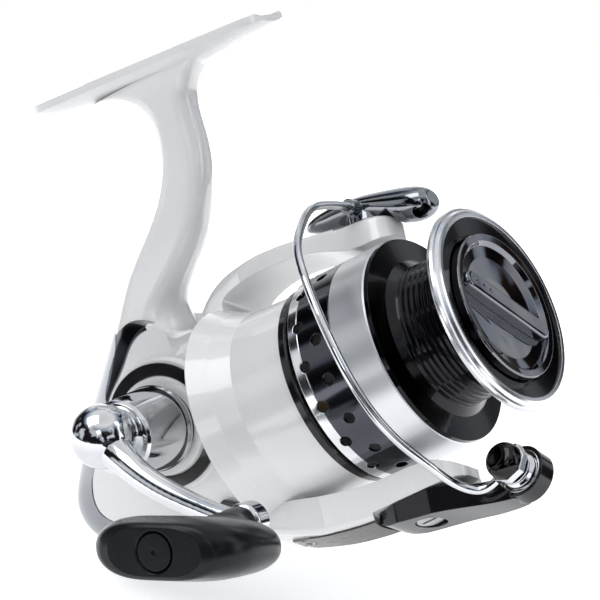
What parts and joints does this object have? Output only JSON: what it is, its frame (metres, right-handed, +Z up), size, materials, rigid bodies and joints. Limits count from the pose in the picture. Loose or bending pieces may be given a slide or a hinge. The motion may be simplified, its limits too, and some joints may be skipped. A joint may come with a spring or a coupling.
{
  "type": "spinning reel",
  "caption": "Open-face spinning fishing reel with a rod foot on a curved stem, a bail rotor, a ported front-drag spool and a crank handle with a T-shaped grip.",
  "frame": {"origin": "centre of the foot's rod seat", "axes": "+X forward along the main shaft towards the spool's lip, +Z up from the shaft to the rod seat, handle on -Y"},
  "size_m": [0.1247, 0.1157, 0.1304],
  "materials": {
    "white_paint": "pearl gloss",
    "chrome_trim": "polished",
    "black_print": "gloss",
    "black_plastic": "gloss",
    "black_rubber": "soft matte",
    "black_anodised": "gloss anodised",
    "gunmetal": "satin",
    "gunmetal_chrome": "polished",
    "smoked_chrome": "polished",
    "steel": "satin",
    "screw_steel": "polished",
    "brass": "machined",
    "zinc": "cast",
    "nylon": "moulded",
    "carbon_felt": "woven"
  },
  "bodies": {
    "body": {"body_housing": "white_paint", "side_cover": "white_paint", "rear_cover": "chrome_trim", "body_screws": "screw_steel", "boss_ring": "black_print", "handle_seal": "black_rubber", "gear_bearings": "steel", "pinion_bearing": "steel", "one_way_clutch": "steel", "clutch_cover": "nylon", "clutch_screws": "screw_steel", "slider_guide": "steel", "port_cap": "chrome_trim"},
    "anti_reverse": {"anti_reverse_lever": "black_plastic"},
    "handle": {"drive_gear": "zinc", "handle_collar": "chrome_trim", "handle_arm": "chrome_trim", "arm_pin": "screw_steel", "knob_spindle": "steel"},
    "knob": {"handle_knob": "black_rubber", "knob_bushes": "nylon", "knob_cap": "black_plastic"},
    "oscillator": {"oscillation_gear": "nylon"},
    "rotor": {"rotor": "white_paint", "rotor_rim": "black_plastic", "pinion_gear": "brass", "rotor_nut": "screw_steel", "nut_plate": "steel", "nut_plate_screw": "screw_steel", "arm_cover": "gunmetal", "arm_cover_screw": "screw_steel", "bail_spring": "steel", "kick_lever": "nylon", "bail_pivot_screws": "screw_steel"},
    "bail": {"bail_arm": "black_plastic", "bail_lever": "gunmetal_chrome", "bail_wire": "chrome_trim", "roller_cone": "gunmetal_chrome", "cone_tip": "black_plastic", "roller_seat": "chrome_trim", "roller_bush": "nylon", "roller_screw": "screw_steel"},
    "roller": {"line_roller": "gunmetal_chrome"},
    "shaft": {"main_shaft": "steel", "slider_block": "nylon", "slider_screw": "screw_steel", "click_gear": "nylon", "spool_washer": "nylon"},
    "spool": {"spool": "black_anodised", "spool_lip": "chrome_trim", "drag_washers": "carbon_felt", "drag_clip": "steel", "line_clip": "black_plastic", "click_pawl": "nylon"},
    "drag": {"drag_knob": "smoked_chrome", "drag_knob_nut": "brass", "drag_knob_grip": "smoked_chrome", "drag_spring": "steel"}
  },
  "joints": [
    {"name": "handle_spin", "type": "hinge", "parent": "body", "child": "handle", "pos_m": [-0.027, 0, -0.0765], "axis": [0, -1, 0], "continuous": true},
    {"name": "rotor_spin", "type": "hinge", "parent": "body", "child": "rotor", "pos_m": [0.037, 0, -0.0845], "axis": [1, 0, 0], "continuous": true},
    {"name": "oscillation_spin", "type": "hinge", "parent": "body", "child": "oscillator", "pos_m": [-0.0455, 0, -0.0815], "axis": [0, -1, 0], "continuous": true},
    {"name": "shaft_slide", "type": "slide", "parent": "body", "child": "shaft", "axis": [1, 0, 0], "range_m": [-0.014, 0]},
    {"name": "spool_spin", "type": "hinge", "parent": "shaft", "child": "spool", "pos_m": [0.037, 0, -0.0845], "axis": [1, 0, 0], "continuous": true},
    {"name": "drag_knob_turn", "type": "hinge", "parent": "shaft", "child": "drag", "pos_m": [0.055, 0, -0.0845], "axis": [1, 0, 0], "continuous": true},
    {"name": "bail_flip", "type": "hinge", "parent": "rotor", "child": "bail", "pos_m": [0.0275, 0, -0.0845], "axis": [0, 0.3746, 0.9272], "range_deg": [0, 105]},
    {"name": "line_roller_spin", "type": "hinge", "parent": "bail", "child": "roller", "pos_m": [0.0537, -0.01596, -0.12001], "axis": [0, -0.8341, 0.5516], "continuous": true},
    {"name": "knob_spin", "type": "hinge", "parent": "handle", "child": "knob", "pos_m": [0.0055, -0.07, -0.1067], "axis": [0, -1, 0], "continuous": true},
    {"name": "anti_reverse_switch", "type": "hinge", "parent": "body", "child": "anti_reverse", "pos_m": [-0.021, -0.0124, -0.099], "axis": [0, -1, 0], "range_deg": [-25, 0]}
  ],
  "couplings": [
    {"joint": "rotor_spin", "follows": "handle_spin", "ratio": 5.2857},
    {"joint": "oscillation_spin", "follows": "handle_spin", "ratio": -1.0882}
  ]
}
